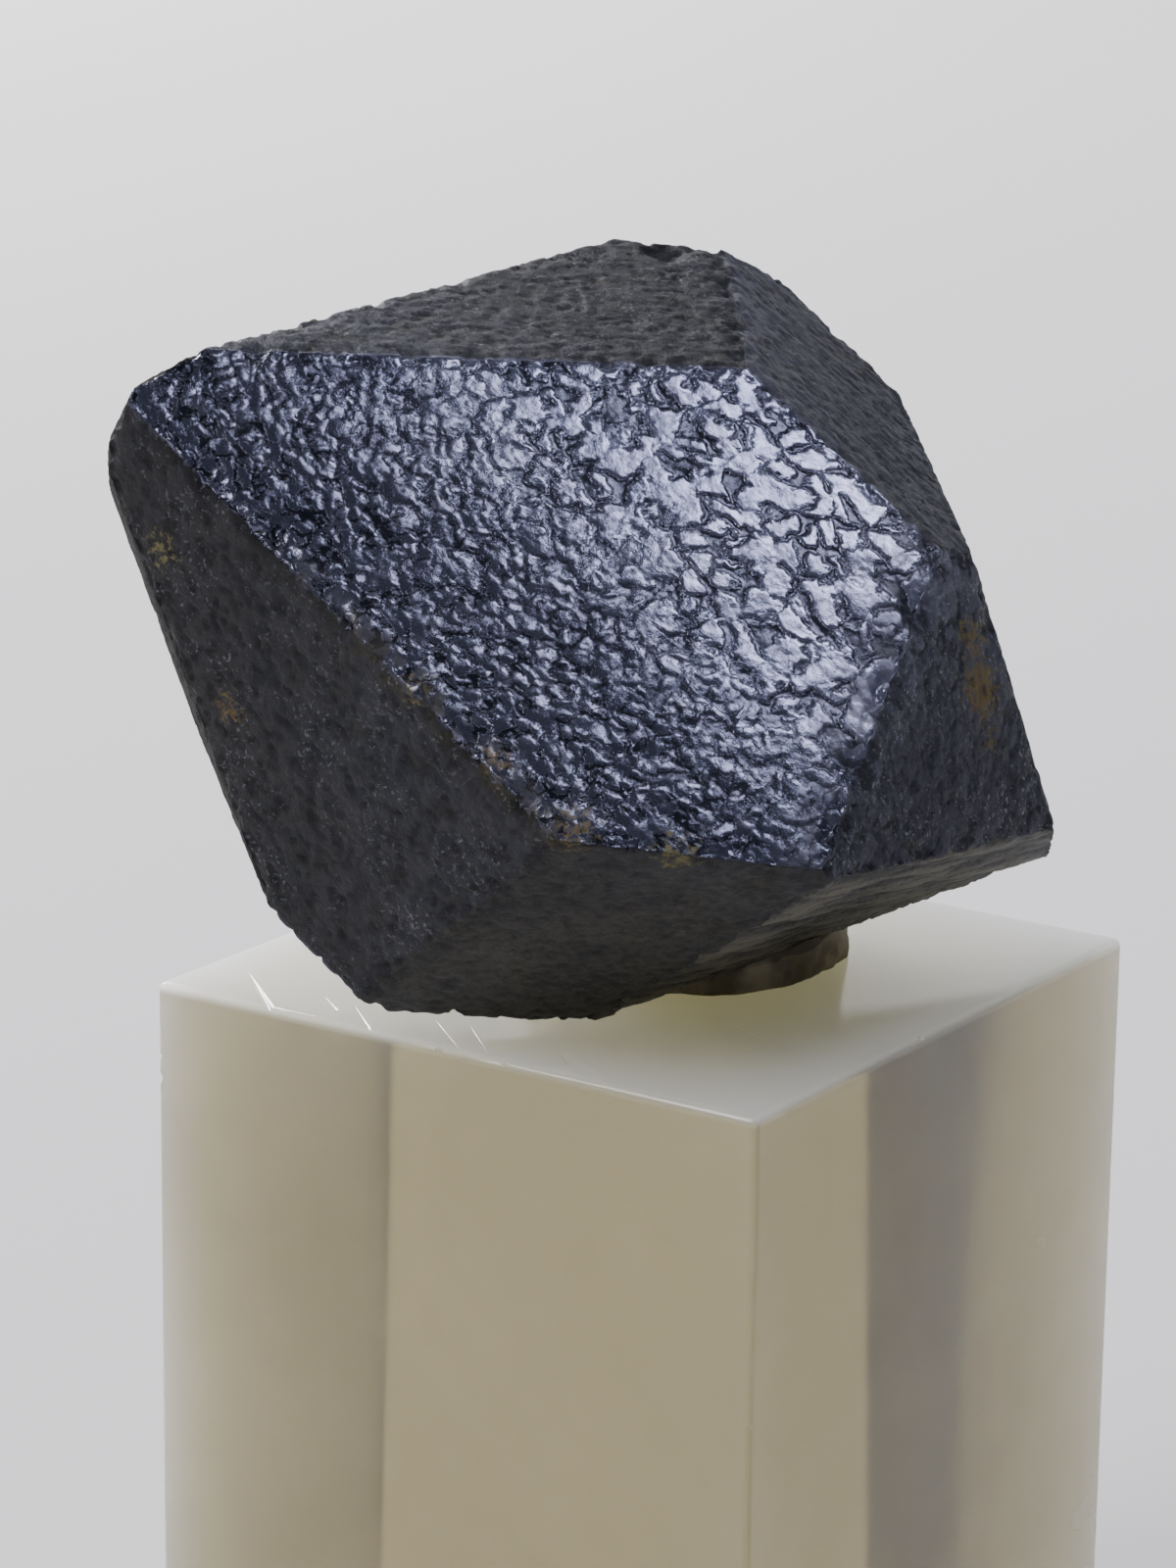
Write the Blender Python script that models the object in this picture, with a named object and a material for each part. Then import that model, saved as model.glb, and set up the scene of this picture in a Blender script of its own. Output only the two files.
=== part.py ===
"""A dark metallic crystal that stands on a corner, held by putty, on a small clear block.

Units are metres and +Z is up. The origin is the middle of the block's underside, and the
block's sides lie along X and Y. Sizes below are written in millimetres and multiplied by MM.
"""
import bpy
import bmesh
from math import cos, radians, sin
from mathutils import Vector, noise

MM = 0.001
GAP = 0.3 * MM                     # touching pieces are kept this far apart

# Display block
BLOCK_SIDE = 30.0 * MM
BLOCK_HEIGHT = 40.0 * MM
BLOCK_EDGE = 0.35 * MM             # width of its softened edges

# Crystal: every face is a compass direction, a rise above level, and a distance from the heart
HEART = Vector((-2.4 * MM, -1.5 * MM, BLOCK_HEIGHT + 15.45 * MM))
ROUGH_STONE = 60.0 * MM            # the lump that the faces are cut from
FACES = {                          # degrees, degrees, millimetres
    "broad": (-36.0, 46.0, 10.2),
    "top": (-24.5, 75.0, 11.7),
    "shoulder": (19.5, 53.0, 12.7),
    "right": (2.5, 13.0, 15.9),
    "ribbed": (-8.5, -55.5, 16.2),
    "keel": (-54.0, -45.0, 17.4),
    "left": (-95.0, -11.5, 17.0),
    "left_flank": (-135.0, -19.0, 17.0),
    "back_slope": (144.0, -46.0, 10.2),
    "underside": (144.0, -67.5, 10.5),
    "back_low_left": (-160.5, -53.0, 14.5),
    "back_left": (-177.5, -13.0, 15.9),
    "back_roof": (176.5, 52.5, 14.8),
    "back_roof_right": (126.0, 45.0, 17.5),
    "back_right": (85.0, 11.5, 17.4),
    "right_flank": (38.5, 18.5, 16.0),
}
CORNER_CHIPS = {                   # worn corners, written the same way
    "left_corner_low": (-141.0, 0.5, 20.1),
    "left_corner": (-146.0, 25.0, 21.3),
    "left_corner_high": (-160.0, 59.5, 17.6),
    "right_corner": (29.0, 2.0, 19.7),
}
EDGE_WEAR = 0.22 * MM              # how far each sharp edge is worn back
SHORTEST_WORN_EDGE = 2.0 * MM

# Relief of the crystal's faces
FACET = 1.45 * MM                  # spacing of the cuts that divide the flat faces
MERGE_SHARE = 0.12                 # points closer than this share of the spacing become one
ON_FACE = 0.02 * MM                # how close to a face's plane its points lie
HILLOCK_SIZE = 2.6 * MM
HILLOCK_DEPTH = 0.22 * MM          # on the broad face
HILLOCK_CONTRAST = 2.4             # larger for flatter hills and narrower grooves
BEND_SIZE = 1.7                    # the hills' outlines are bent over this many hill sizes
BEND_SHARE = 0.35                  # and moved by up to this many
PIT_SIZE = 3.4 * MM
PIT_DEPTH = 0.14 * MM              # on the other faces
RIB_PITCH = 3.4 * MM
RIB_DEPTH = 0.28 * MM
RIB_SWAY = 0.3                     # how far a rib strays, as a share of the pitch
CHIP_SIZE = 2.2 * MM
CHIP_DEPTH = 0.38 * MM
DENTS = {                          # place from the heart, radius and depth, all in millimetres
    "top_notch": ((-3.3, 9.4, 13.9), 1.9, 0.55),
    "edge_knob": ((4.1, -17.7, 1.0), 1.7, -0.30),
    "right_ledge": ((16.5, -2.6, -0.2), 2.3, 0.35),
    "low_right_bite": ((11.6, 13.9, -12.0), 1.8, 0.40),
}

# Mounting putty under the crystal
PUTTY_CENTRE = Vector((0.2 * MM, 2.4 * MM, BLOCK_HEIGHT + 1.6 * MM))
PUTTY_RADIUS = 7.1 * MM
PUTTY_HALF_HEIGHT = 6.0 * MM
PUTTY_LUMP_SIZE = 3.5 * MM
PUTTY_LUMP_DEPTH = 0.7 * MM

COLLECTION = "dark_crystal_on_block"


def direction(azimuth, rise):
    """The unit vector at a compass direction and a rise above level, both in degrees."""
    level = cos(radians(rise))
    return Vector((level * cos(radians(azimuth)), level * sin(radians(azimuth)), sin(radians(rise))))


def clear_scene():
    for thing in list(bpy.data.objects):
        bpy.data.objects.remove(thing, do_unlink=True)
    for old in list(bpy.data.collections):
        bpy.data.collections.remove(old)


def make_material(name, colour, roughness, metallic, transmission=0.0, ior=1.5):
    material = bpy.data.materials.new(name)
    material.use_nodes = True
    shader = material.node_tree.nodes["Principled BSDF"]
    shader.inputs["Base Color"].default_value = (*colour, 1.0)
    shader.inputs["Roughness"].default_value = roughness
    shader.inputs["Metallic"].default_value = metallic
    shader.inputs["Transmission Weight"].default_value = transmission
    shader.inputs["IOR"].default_value = ior
    return material


def add_piece(bm, name, material, collection):
    """Turn a bmesh, given in world coordinates, into a named object."""
    bmesh.ops.triangulate(bm, faces=bm.faces[:])
    bmesh.ops.recalc_face_normals(bm, faces=bm.faces[:])
    mesh = bpy.data.meshes.new(name)
    bm.to_mesh(mesh)
    bm.free()
    mesh.materials.append(material)
    mesh.shade_smooth()
    mesh.set_sharp_from_angle(angle=radians(25.0))
    piece = bpy.data.objects.new(name, mesh)
    collection.objects.link(piece)
    return piece


def cut_off(bm, point, normal):
    """Remove what lies beyond a plane and close the cut with one flat face."""
    everything = bm.verts[:] + bm.edges[:] + bm.faces[:]
    cut = bmesh.ops.bisect_plane(bm, geom=everything, plane_co=point, plane_no=normal,
                                 dist=1e-7, clear_outer=True)
    rim = [part for part in cut["geom_cut"] if isinstance(part, bmesh.types.BMEdge)]
    if rim:
        bmesh.ops.edgeloop_fill(bm, edges=rim)


def slice_faces(bm, spacing, low, high):
    """Divide every face along evenly spaced level and upright planes, and keep the shape."""
    for axis in range(3):
        normal = Vector((0.0, 0.0, 0.0))
        normal[axis] = 1.0
        steps = int((high[axis] - low[axis]) / spacing)
        for step in range(steps + 1):
            point = low.copy()
            point[axis] = low[axis] + (step + 0.5) * spacing
            everything = bm.verts[:] + bm.edges[:] + bm.faces[:]
            bmesh.ops.bisect_plane(bm, geom=everything, plane_co=point, plane_no=normal, dist=1e-7)
    bmesh.ops.remove_doubles(bm, verts=bm.verts[:], dist=MERGE_SHARE * spacing)
    bmesh.ops.dissolve_degenerate(bm, dist=1e-6, edges=bm.edges[:])


def wear_edges(bm):
    """Cut a narrow flat along each sharp edge, as handling wears it."""
    flats = []
    for edge in bm.edges:
        if edge.calc_length() < SHORTEST_WORN_EDGE:
            continue
        outward = (edge.link_faces[0].normal + edge.link_faces[1].normal).normalized()
        middle = (edge.verts[0].co + edge.verts[1].co) / 2
        flats.append((middle - outward * EDGE_WEAR, outward))
    for point, outward in flats:
        cut_off(bm, point, outward)


def hillocks(place, size):
    """Rounded growth hills with narrow grooves between them, from 0 in a groove to 1."""
    bend = noise.noise_vector(place / (size * BEND_SIZE)) * size * BEND_SHARE
    value = noise.noise((place + bend) / size)
    return min(1.0, abs(value) * HILLOCK_CONTRAST)


def ribs(place):
    """A folded wave across the ribbed face, whose ridges run along its edge with the right face."""
    azimuth, rise, distance = FACES["ribbed"]
    outward = direction(azimuth, rise)
    azimuth, rise, distance = FACES["right"]
    along = outward.cross(direction(azimuth, rise)).normalized()
    count = place.dot(along.cross(outward)) / RIB_PITCH
    return abs((count + RIB_SWAY * noise.noise(place / RIB_PITCH)) % 1.0 - 0.5) * 2.0


def relief(name, place):
    """How far below the flat face a point of the named face lies."""
    if name == "broad":
        return HILLOCK_DEPTH * (1.0 - hillocks(place, HILLOCK_SIZE))
    if name == "ribbed":
        return RIB_DEPTH * ribs(place)
    return PIT_DEPTH * (1.0 - hillocks(place, PIT_SIZE))


def chip(place):
    """Depth of the small chips along an edge."""
    return CHIP_DEPTH * max(0.0, noise.noise(place / CHIP_SIZE))


def dent(place):
    """Depth of the few larger dents, and of the one raised knob as a negative depth."""
    depth = 0.0
    for spot, radius, deep in DENTS.values():
        near = 1.0 - (place - HEART - Vector(spot) * MM).length / (radius * MM)
        if near > 0.0:
            depth += deep * MM * near * near * (3.0 - 2.0 * near)
    return depth


def roughen_crystal(bm):
    """Move the points of the divided faces inwards by the relief of the faces they lie on."""
    planes = {name: (direction(azimuth, rise), distance * MM)
              for name, (azimuth, rise, distance) in (FACES | CORNER_CHIPS).items()}
    bm.normal_update()
    moves = []
    for vert in bm.verts:
        spot = vert.co - HEART
        lies_on = [name for name, (normal, distance) in planes.items()
                   if abs(spot.dot(normal) - distance) < ON_FACE]
        if len(lies_on) == 1:
            depth = relief(lies_on[0], vert.co)
        else:
            depth = chip(vert.co)
        moves.append((vert, vert.normal * -(depth + dent(vert.co))))
    for vert, move in moves:
        vert.co += move


def make_crystal(collection):
    bm = bmesh.new()
    bmesh.ops.create_cube(bm, size=ROUGH_STONE)
    bmesh.ops.translate(bm, verts=bm.verts[:], vec=HEART)
    for azimuth, rise, distance in (FACES | CORNER_CHIPS).values():
        normal = direction(azimuth, rise)
        cut_off(bm, HEART + normal * distance * MM, normal)
    bm.normal_update()
    wear_edges(bm)
    reach = Vector((1.0, 1.0, 1.0)) * ROUGH_STONE / 2
    slice_faces(bm, FACET, HEART - reach, HEART + reach)
    roughen_crystal(bm)
    material = make_material("crystal_metal", (0.045, 0.05, 0.065), 0.32, 0.85)
    return add_piece(bm, "crystal", material, collection)


def make_putty(collection):
    """A flattened lump, cut level on the block and slanted where the crystal's underside sits."""
    bm = bmesh.new()
    bmesh.ops.create_uvsphere(bm, u_segments=40, v_segments=20, radius=1.0)
    for vert in bm.verts:
        around = Vector((vert.co.x * PUTTY_RADIUS, vert.co.y * PUTTY_RADIUS, vert.co.z * PUTTY_HALF_HEIGHT))
        lump = noise.noise((PUTTY_CENTRE + around) / PUTTY_LUMP_SIZE) * PUTTY_LUMP_DEPTH
        vert.co = PUTTY_CENTRE + around + vert.co * lump
    cut_off(bm, Vector((0.0, 0.0, BLOCK_HEIGHT + GAP)), Vector((0.0, 0.0, -1.0)))
    azimuth, rise, distance = FACES["underside"]
    outward = direction(azimuth, rise)
    cut_off(bm, HEART + outward * (distance * MM + GAP), -outward)
    material = make_material("putty", (0.10, 0.085, 0.05), 0.8, 0.0)
    return add_piece(bm, "mounting_putty", material, collection)


def make_block(collection):
    bm = bmesh.new()
    bmesh.ops.create_cube(bm, size=BLOCK_SIDE)
    bmesh.ops.scale(bm, verts=bm.verts[:], vec=Vector((1.0, 1.0, BLOCK_HEIGHT / BLOCK_SIDE)))
    bmesh.ops.translate(bm, verts=bm.verts[:], vec=Vector((0.0, 0.0, BLOCK_HEIGHT / 2)))
    bmesh.ops.bevel(bm, geom=bm.edges[:], offset=BLOCK_EDGE, segments=3, profile=0.5, affect="EDGES")
    material = make_material("clear_resin", (0.80, 0.77, 0.66), 0.08, 0.0, transmission=0.9, ior=1.49)
    return add_piece(bm, "display_block", material, collection)


def main():
    clear_scene()
    collection = bpy.data.collections.new(COLLECTION)
    bpy.context.scene.collection.children.link(collection)
    make_block(collection)
    make_putty(collection)
    make_crystal(collection)


main()
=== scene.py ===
"""The finish of a dark metallic crystal set with putty on a small clear block.

Lengths are metres. Sizes that are easier to read in millimetres are multiplied by MM.
"""
from math import ceil, cos, pi, radians, sin, sqrt
from random import Random
from typing import NamedTuple

import bmesh
import bpy
from mathutils import Matrix, Vector
from mathutils.geometry import delaunay_2d_cdt


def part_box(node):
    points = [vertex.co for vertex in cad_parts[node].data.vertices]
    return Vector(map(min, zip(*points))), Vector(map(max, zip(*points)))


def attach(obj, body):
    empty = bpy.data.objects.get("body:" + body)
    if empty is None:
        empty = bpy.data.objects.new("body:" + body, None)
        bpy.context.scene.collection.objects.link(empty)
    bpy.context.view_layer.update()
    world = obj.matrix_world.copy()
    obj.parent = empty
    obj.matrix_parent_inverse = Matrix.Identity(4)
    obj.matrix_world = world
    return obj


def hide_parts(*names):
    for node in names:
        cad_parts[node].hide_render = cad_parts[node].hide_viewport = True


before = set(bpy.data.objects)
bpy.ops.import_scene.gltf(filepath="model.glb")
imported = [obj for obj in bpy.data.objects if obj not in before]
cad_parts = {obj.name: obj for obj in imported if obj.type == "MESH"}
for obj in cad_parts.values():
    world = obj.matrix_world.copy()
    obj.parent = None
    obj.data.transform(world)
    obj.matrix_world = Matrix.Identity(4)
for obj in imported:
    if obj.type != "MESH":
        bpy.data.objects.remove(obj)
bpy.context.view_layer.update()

MM = 0.001
HALF_BACK = (-0.5, -0.5, -0.5)     # turns noise of 0 to 1 into noise about zero
BLOCK_LOW, BLOCK_HIGH = (Vector(corner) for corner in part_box("display_block"))
BLOCK_TOP = Vector((0.0, 0.0, BLOCK_HIGH.z))

# Camera, as far from the block's top and as high above it as the photographer's
CAMERA_PLACE = BLOCK_TOP + Vector((115.9, -177.1, 65.8)) * MM
CAMERA_AZIMUTH = 33.93             # degrees round from looking along +Y
CAMERA_DOWN = 15.33                # degrees below level
CAMERA_ROLL = 0.73                 # degrees, anticlockwise as the photographer sees it
LONG_SIDE_SENSOR = 36.0            # millimetres
LENS = 118.3                       # millimetres
CAMERA_SEES = (0.01, 20.0)         # nearest and farthest, in metres

# Crystal faces: compass direction and rise in degrees, distance from the heart in millimetres
SETTLE = 0.28 * MM                 # the frame keeps this gap, and here the corner touches the block
HEART = BLOCK_TOP + Vector((-2.4, -1.5, 15.45)) * MM - Vector((0.0, 0.0, SETTLE))
ROUGH_STONE = 60.0 * MM
FACES = {
    "broad": (-36.0, 46.0, 10.2),
    "top": (-24.5, 75.0, 11.7),
    "shoulder": (19.5, 53.0, 12.7),
    "right": (2.5, 13.0, 15.9),
    "ribbed": (-8.5, -55.5, 16.2),
    "keel": (-54.0, -45.0, 17.4),
    "left": (-95.0, -11.5, 17.0),
    "left_flank": (-135.0, -19.0, 17.0),
    "back_slope": (144.0, -46.0, 10.2),
    "underside": (144.0, -67.5, 10.5),
    "back_low_left": (-160.5, -53.0, 14.5),
    "back_left": (-177.5, -13.0, 15.9),
    "back_roof": (176.5, 52.5, 14.8),
    "back_roof_right": (126.0, 45.0, 17.5),
    "back_right": (85.0, 11.5, 17.4),
    "right_flank": (38.5, 18.5, 16.0),
    "left_corner_low": (-141.0, 0.5, 20.1),
    "left_corner": (-146.0, 25.0, 21.3),
    "left_corner_high": (-160.0, 59.5, 17.6),
    "right_corner": (29.0, 2.0, 19.7),
}


class Character(NamedTuple):
    """The skin of one face. What isn't given is that of the plain faces, which the photo doesn't show."""

    neighbour: str = None          # its streaks follow the edge that it shares with this face
    stretch: float = 1.2           # how far its streaks are drawn out
    hills: float = 0.2             # strength of its growth plates
    streaks: float = 0.4           # strength of its streaks
    pits: float = 0.6              # strength of its pits
    sheen: float = 0.20            # how metallic it is
    pale: float = 0.7              # how pale its dull parts are: partly the face's own tone, partly painted light that makes up for how brightly the face is lit
    flecks: float = 0.4            # how many bright flecks it has
    spacing: float = 0.31          # millimetres between the points of its net


TRAITS = ("stretch", "hills", "streaks", "pits", "sheen", "pale", "flecks")
PLAIN = Character()
MATT = Character(streaks=0.3, pits=1.2, sheen=0.0, pale=0.3, flecks=0.2, spacing=0.26)
CHARACTER = {
    "broad": Character("top", stretch=1.0, hills=1.0, streaks=0.0, pits=0.1, sheen=1.0, pale=0.5,
                       flecks=0.0, spacing=0.128),
    "top": Character("broad", stretch=0.7, hills=0.1, streaks=0.8, pits=0.6, sheen=0.15, pale=0.30,
                     flecks=0.6, spacing=0.21),
    "shoulder": Character("broad", stretch=0.7, hills=0.1, streaks=1.0, pits=0.5, sheen=0.36, pale=1.5,
                          flecks=0.5, spacing=0.21),
    "right": Character("broad", stretch=1.0, hills=1.0, streaks=0.0, pits=0.6, sheen=0.22, pale=0.12,
                       flecks=0.9, spacing=0.19),
    "ribbed": Character("right", stretch=5.0, hills=0.0, streaks=2.8, pits=0.2, sheen=0.08, pale=1.2,
                        flecks=0.1, spacing=0.19),
    "keel": Character("broad", stretch=1.0, hills=0.05, streaks=0.1, pits=0.6, sheen=0.04, pale=0.75,
                      flecks=0.1, spacing=0.25),
    "left": Character("broad", stretch=1.0, hills=0.1, streaks=0.15, pits=1.2, sheen=0.05, pale=0.20,
                      flecks=0.5, spacing=0.23),
    "left_flank": MATT,
    "left_corner_low": MATT,
    "left_corner": MATT,
    "left_corner_high": MATT,
}
EDGE_STEP = 0.17                   # millimetres between the points along an edge
SEED = 7
TRIANGLE_LIMIT = 198000

# Sizes of the relief in millimetres. A lean is a plate's rise over a millimetre, a dome its fall
# over its own width, and patchiness and ringing are strengths.
RELIEF = {
    "wide plates": 1.35,
    "wide lean": 0.05,
    "wide dome": 0.02,
    "wide groove": 0.06,
    "fine plates": 0.74,
    "fine lean": 0.13,
    "fine dome": 0.045,
    "fine groove": 0.03,
    "patchiness": 0.9,
    "bend": 1.6,
    "ringing": 0.75,
    "raggedness": 1.1,
    "swell": 0.05,
    "pillow": 0.42,
    "pillow reach": 12.0,
    "streak length": 1.5,
    "streak width": 0.33,
    "streak relief": 0.10,
    "pit depth": 0.12,
    "grain": 0.04,
    "edge band": 0.30,
    "edge wear": 0.05,
    "chip band": 0.9,
    "chip depth": 0.28,
}
GROWTH_CENTRE = (-3.0, -5.0)       # millimetres left of and below the broad face's middle
GROWTH_COARSE = (-0.8, -0.6)       # likewise, the way in which its plates grow wider: right and up
WIDE_PLATES_BAND = (-6.0, 7.0)     # millimetres along that way over which they take over
RAGGED_SIZE = 0.7                  # millimetres, of the noise that makes the plates' outlines ragged
BEND_SIZE = 3.0                    # millimetres, of the noise that bends their rows
GROOVE_EDGE = 0.11                 # share of a plate's width that its groove takes
FINE_SHARE_LOST = 0.85             # share of the fine plates that is gone among the wide ones
# Patches made of noise: its size in millimetres, its detail and roughness, and the values at
# which a patch starts and is full
PATCHES = {
    "pits": (0.7, 3.0, 0.6, 0.48, 0.66),
    "large chips": (1.1, 3.0, 0.6, 0.45, 0.70),
    "small chips": (0.5, 2.0, 0.6, 0.45, 0.75),
    "jagged dents": (0.55, 3.0, 0.65, 0.30, 0.70),
    "worn edge": (0.8, 3.0, 0.6, 0.36, 0.60),
    "edge dust": (0.9, 4.0, 0.65, 0.42, 0.60),
    "fleck clusters": (2.4, 2.0, 0.5, 0.38, 0.62),
    "flecks": (0.22, 3.0, 0.7, 0.56, 0.68),
    "dusty spots": (1.1, 3.0, 0.6, 0.45, 0.7),
}
PIT_TWIST = 0.8                    # how far the pits' noise is drawn out of shape
STREAK_BAND = (0.3, 0.7)           # where the streaks' noise turns from low into high
STREAK_DUST_AND_HIGHLIGHT_BAND = (0.42, 0.62)   # likewise from bare into dusty, and on the ribbed face into its painted highlights
STREAKS_SUNK = 0.6                 # share of the streaks' height that lies below the face
DENTS = {                          # millimetres: place from the heart, radius, and depth, below 0 on a knob
    "top_notch": ((-2.7, 9.8, 14.0), 1.3, 0.42),
    "edge_knob": ((4.1, -17.7, 1.0), 1.2, -0.30),
    "right_edge_first": ((15.7, 1.0, 2.5), 1.3, 0.24),
    "right_edge_second": ((16.5, -2.6, -0.2), 1.3, 0.20),
    "right_edge_third": ((17.2, -6.0, -2.6), 1.4, 0.26),
    "right_edge_last": ((17.7, -8.4, -4.4), 1.2, 0.24),
    "low_right_bite": ((11.6, 13.9, -12.0), 1.4, 0.35),
    "left_edge_first": ((-5.6, -18.5, 8.0), 1.4, 0.35),
    "left_edge_second": ((-2.8, -18.4, 5.9), 1.7, 0.45),
    "left_edge_third": ((0.4, -18.1, 3.6), 1.3, 0.35),
    "left_edge_fourth": ((6.5, -17.7, -1.0), 1.5, 0.45),
    "left_edge_last": ((9.0, -17.6, -2.8), 1.2, 0.40),
}
DUSTY_EDGE = ((10.7, -17.5, -4.1), (-9.5, -18.8, 10.9))     # its two ends, from the heart
DUST_FADE = (22.0, 8.0)            # millimetres from its first end over which the dust ends
WORN_EDGE = ((15.2, 3.4, 4.2), (18.1, -10.2, -5.7))         # its two ends, from the heart
WORN_REACH = 3.2                   # millimetres
WORN_GAIN = 0.22                   # sheen that worn spots of the right face gain
WORN_LOSS = 0.72                   # sheen that those of the broad face have less than that
STAINS = {                         # place from the heart, radius in millimetres, strength
    "right_face": ((16.5, 4.8, -1.7), 3.4, 0.46),
    "right_face_high": ((16.0, 4.8, 0.4), 2.8, 0.40),
    "right_face_low": ((17.0, 4.9, -3.8), 2.4, 0.32),
    "left_upper": ((-8.8, -17.6, 4.7), 2.6, 0.32),
    "left_middle": ((-6.2, -16.5, -1.6), 2.4, 0.32),
    "broad_low_left": ((10.8, -16.6, -3.7), 2.8, 0.36),
    "broad_low": ((14.0, -14.2, -4.8), 2.6, 0.36),
    "edge_low": ((7.5, -17.2, -1.4), 2.2, 0.32),
    "edge_knob": ((4.1, -17.7, 1.0), 2.0, 0.32),
}
METAL = {                          # colours; where there are two, clouds vary between them
    "dull": ((0.020, 0.019, 0.018), (0.032, 0.029, 0.022)),
    "bright": ((0.18, 0.185, 0.275), (0.22, 0.225, 0.32)),
    "rust": ((0.19, 0.165, 0.07), (0.15, 0.10, 0.035)),
    "dust_and_rib_highlight": ((0.085, 0.092, 0.12), (0.13, 0.12, 0.095)),     # dust on plain streaks; on the ribs, dust with a painted highlight
    "dust": (0.038, 0.033, 0.022),
    "fleck": (0.20, 0.20, 0.24),
}

# Display block
BLOCK_EDGE = 0.35 * MM             # width of its softened edges
SHARP_ANGLE = 28.0                 # degrees between faces from which an edge is drawn sharp
RESIN = {
    "ior": 1.49,
    "roughness": 0.07,
    "rough clouds": 0.06,
    "top band": (-0.5, -0.05),     # heights from the top, in millimetres, over which its milk thickens and turns paler: painted light lifting the shade on the top
    "tint": (0.58, 0.50, 0.14, 1.0),
    "tint density": 70.0,
    "milk on the sides": (0.54, 0.49, 0.36),
    # painted light: the top's milk is paler than that of the sides
    "top milk painted paler": (0.82, 0.79, 0.66),
    "milk reach": 30.0 * MM,       # how far light spreads in it
    "milkiness": 0.25,             # share of milk on the sides
    # partly haze, partly painted light: more milk brightens the top where the crystal shades it
    "more on the top": 0.58,
    "cloudiness": 0.15,
}
GOUGES = {                         # on the block's top: start, end and width, in millimetres
    "wide": ((-12.9, -11.4), (-8.6, -15.3), 0.50),
    "second": ((-8.2, -12.3), (-6.5, -13.6), 0.12),
    "third": ((-6.6, -12.4), (-3.4, -15.3), 0.18),
    "fourth": ((-2.5, -12.2), (1.1, -15.3), 0.16),
    "fifth": ((-1.0, -11.9), (2.6, -15.3), 0.14),
    "sixth": ((3.6, -12.2), (5.3, -13.9), 0.12),
    "seventh": ((5.4, -13.0), (8.6, -15.3), 0.15),
    "long": ((7.0, -5.2), (10.1, -6.5), 0.10),
}
NICKS = {                          # chips out of the block's edges: place and radius, in millimetres
    "front_edge": ((-0.3, -15.05, 40.0), 0.28),
    "front_edge_right": ((2.8, -15.05, 40.0), 0.24),
    "right_edge": ((15.0, -2.2, 40.0), 0.25),
    "left_edge_high": ((-15.05, -15.0, 36.6), 0.35),
    "left_edge_low": ((-15.1, -15.05, 35.7), 0.45),
    "front_corner": ((15.1, -15.0, 27.0), 0.30),
}

# Putty
PUTTY_CENTRE = BLOCK_TOP + Vector((0.2, 2.4, 1.3)) * MM
PUTTY_RADIUS = 7.1 * MM
PUTTY_HALF_HEIGHT = 6.0 * MM
PUTTY_LUMPS = {"lump size": 2.2, "lump depth": 0.9, "crumb size": 0.55, "crumb depth": 0.22}
PUTTY_BITE = 0.2 * MM              # how far it reaches into the crystal's underside
PUTTY_COLOURS = ((0.20, 0.165, 0.10), (0.50, 0.43, 0.28))

# Stage and lights, in metres
FLOOR_RADIUS = 1.6
FLOOR_GAP = 0.05 * MM              # between the floor and the block
WALL = (1.2, 1.2, 1.25)
WALL_AZIMUTH = 150.0
WALL_SIDES = (0.2, 0.9)            # cosines of the turn away from it at which it ends and is full
WALL_TOP = (0.75, 0.1)             # likewise, sines of the rise
ROOM = (0.098, 0.108, 0.132)
# Soft boxes that the broad face mirrors. An edge is as far right of or above the spot in which
# the face's middle mirrors the camera.
MIRROR_LIGHTS = {
    "window": {"distance": 2.2, "size": 0.70, "left_edge": 0.12, "low_edge": 0.0, "brightness": 7.8},
    "window_glow": {
        "distance": 2.25, "size": 0.95, "left_edge": -0.05, "low_edge": -0.10, "brightness": 0.6},
}
# Soft boxes that light the floor, placed right of, beyond and above the heart as the camera sees it
FLOOR_LIGHTS = {
    "back_light": {"right": -0.7, "beyond": 1.0, "above": 0.55, "size": 0.6, "brightness": 29.0},
    "side_light": {"right": -1.1, "beyond": -0.6, "above": 1.1, "size": 0.7, "brightness": 11.0},
}
FLOOR_TARGET = 0.3                 # metres beyond the heart, where they point
COOL = (0.90, 0.93, 1.0)
WARM = (1.0, 0.98, 0.97)


def direction(azimuth, rise):
    """The unit vector at a compass direction and a rise above level, both in degrees."""
    level = cos(radians(rise))
    return Vector((level * cos(radians(azimuth)), level * sin(radians(azimuth)), sin(radians(rise))))


NORMALS = {name: direction(azimuth, rise) for name, (azimuth, rise, reach) in FACES.items()}


class Wire:
    """A node's output that can be used in arithmetic, with other outputs or with numbers."""

    def __init__(self, board, socket):
        self.board = board
        self.socket = socket

    def maths(self, operation, *others):
        return self.board.add("ShaderNodeMath", {"operation": operation}, [self, *others])

    def __add__(self, other):
        return self.maths("ADD", other)

    def __sub__(self, other):
        return self.maths("SUBTRACT", other)

    def __mul__(self, other):
        return self.maths("MULTIPLY", other)

    def __truediv__(self, other):
        return self.maths("DIVIDE", other)

    def __pow__(self, other):
        return self.maths("POWER", other)

    def __neg__(self):
        return self.maths("MULTIPLY", -1.0)

    def __rsub__(self, other):
        return (-self) + other

    def __rtruediv__(self, other):
        return (self ** -1.0) * other

    __radd__ = __add__
    __rmul__ = __mul__

    def other(self, out):
        """Another output of the same node."""
        return Wire(self.board, self.socket.node.outputs[out])

    def least(self, other):
        return self.maths("MINIMUM", other)

    def most(self, other):
        return self.maths("MAXIMUM", other)

    def ramp(self, low, high):
        """0 below low, 1 above high, and smooth between; falls instead where low is the larger."""
        settings = {"interpolation_type": "SMOOTHSTEP"}
        if low > high:
            return 1.0 - self.board.add("ShaderNodeMapRange", settings, [self, high, low, 0.0, 1.0])
        return self.board.add("ShaderNodeMapRange", settings, [self, low, high, 0.0, 1.0])


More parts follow.
